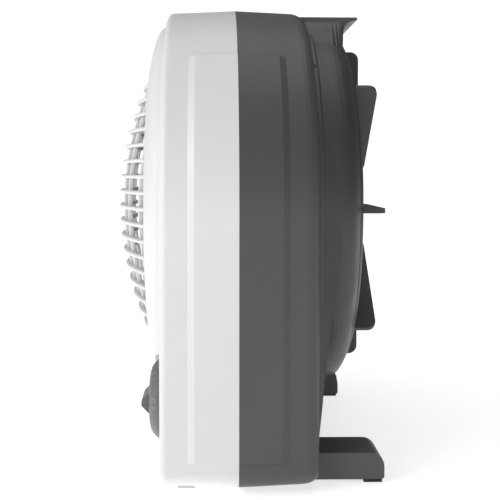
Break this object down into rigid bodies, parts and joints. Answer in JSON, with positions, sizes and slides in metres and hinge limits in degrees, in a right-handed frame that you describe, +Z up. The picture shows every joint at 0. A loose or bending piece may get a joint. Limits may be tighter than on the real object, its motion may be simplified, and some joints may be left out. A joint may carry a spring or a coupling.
{
  "type": "box fan",
  "caption": "Desktop box fan with an arched two-part housing, domed round front grille, round rear drum with radial stand-off fins, carry handle, splayed rear feet and a rotary speed dial.",
  "frame": {"origin": "on the floor plane, under the middle of the bounding box", "axes": "+Z up; -Y towards the front grille, along the fan shaft; +X towards the side that carries the speed dial"},
  "size_m": [0.3764, 0.233, 0.409],
  "materials": {
    "white_plastic": "satin moulded plastic, fine spark texture",
    "dark_plastic": "satin moulded plastic, fine spark texture",
    "dial_plastic": "satin moulded plastic, pale printed marks",
    "black_plastic": "plain moulded plastic",
    "blade_plastic": "smooth semi-gloss moulded plastic",
    "steel": "zinc plated",
    "brass": "sintered bronze or turned brass",
    "rotor_aluminium": "cast end rings, turned outside",
    "lamination": "stacked steel sheets, varnished",
    "winding": "enamelled copper wire, varnished",
    "motor_cover": "pressed steel, zinc coat",
    "capacitor_case": "plain moulded case",
    "lead_sleeve": "soft insulation",
    "pale_rubber": "matte",
    "black_rubber": "matte"
  },
  "bodies": {
    "root": {"front_shell": "white_plastic", "front_grille": "white_plastic", "rear_shell": "dark_plastic", "rear_guard": "dark_plastic", "dial_plate": "dial_plastic", "switch_body": "black_plastic", "switch_nut": "steel", "stator_core": "lamination", "stator_windings": "winding", "motor_front_cover": "motor_cover", "motor_rear_cover": "motor_cover", "front_bearing": "brass", "rear_bearing": "brass", "motor_bolts": "steel", "motor_screws": "steel", "motor_bracket": "motor_cover", "run_capacitor": "capacitor_case", "clip_screws": "steel", "terminal_block": "capacitor_case", "cord_bushing": "black_plastic", "wiring_harness": "lead_sleeve", "housing_screws": "steel", "guard_screws": "steel", "grille_screws": "steel", "bracket_screws": "steel", "dial_screws": "steel", "front_foot_pads": "pale_rubber", "rear_foot_pads": "black_rubber"},
    "rotor": {"fan_blade": "blade_plastic", "blade_nut": "dark_plastic", "drive_pin": "steel", "motor_shaft": "steel", "rotor_core": "rotor_aluminium"},
    "knob": {"speed_knob": "dial_plastic", "switch_shaft": "brass"}
  },
  "joints": [
    {"name": "fan_spin", "type": "hinge", "parent": "root", "child": "rotor", "pos_m": [0, 0, 0.223], "axis": [0, -1, 0], "continuous": true},
    {"name": "speed_turn", "type": "hinge", "parent": "root", "child": "knob", "pos_m": [0.118, -0.0685, 0.061], "axis": [0, -1, 0], "range_deg": [0, 135]}
  ]
}
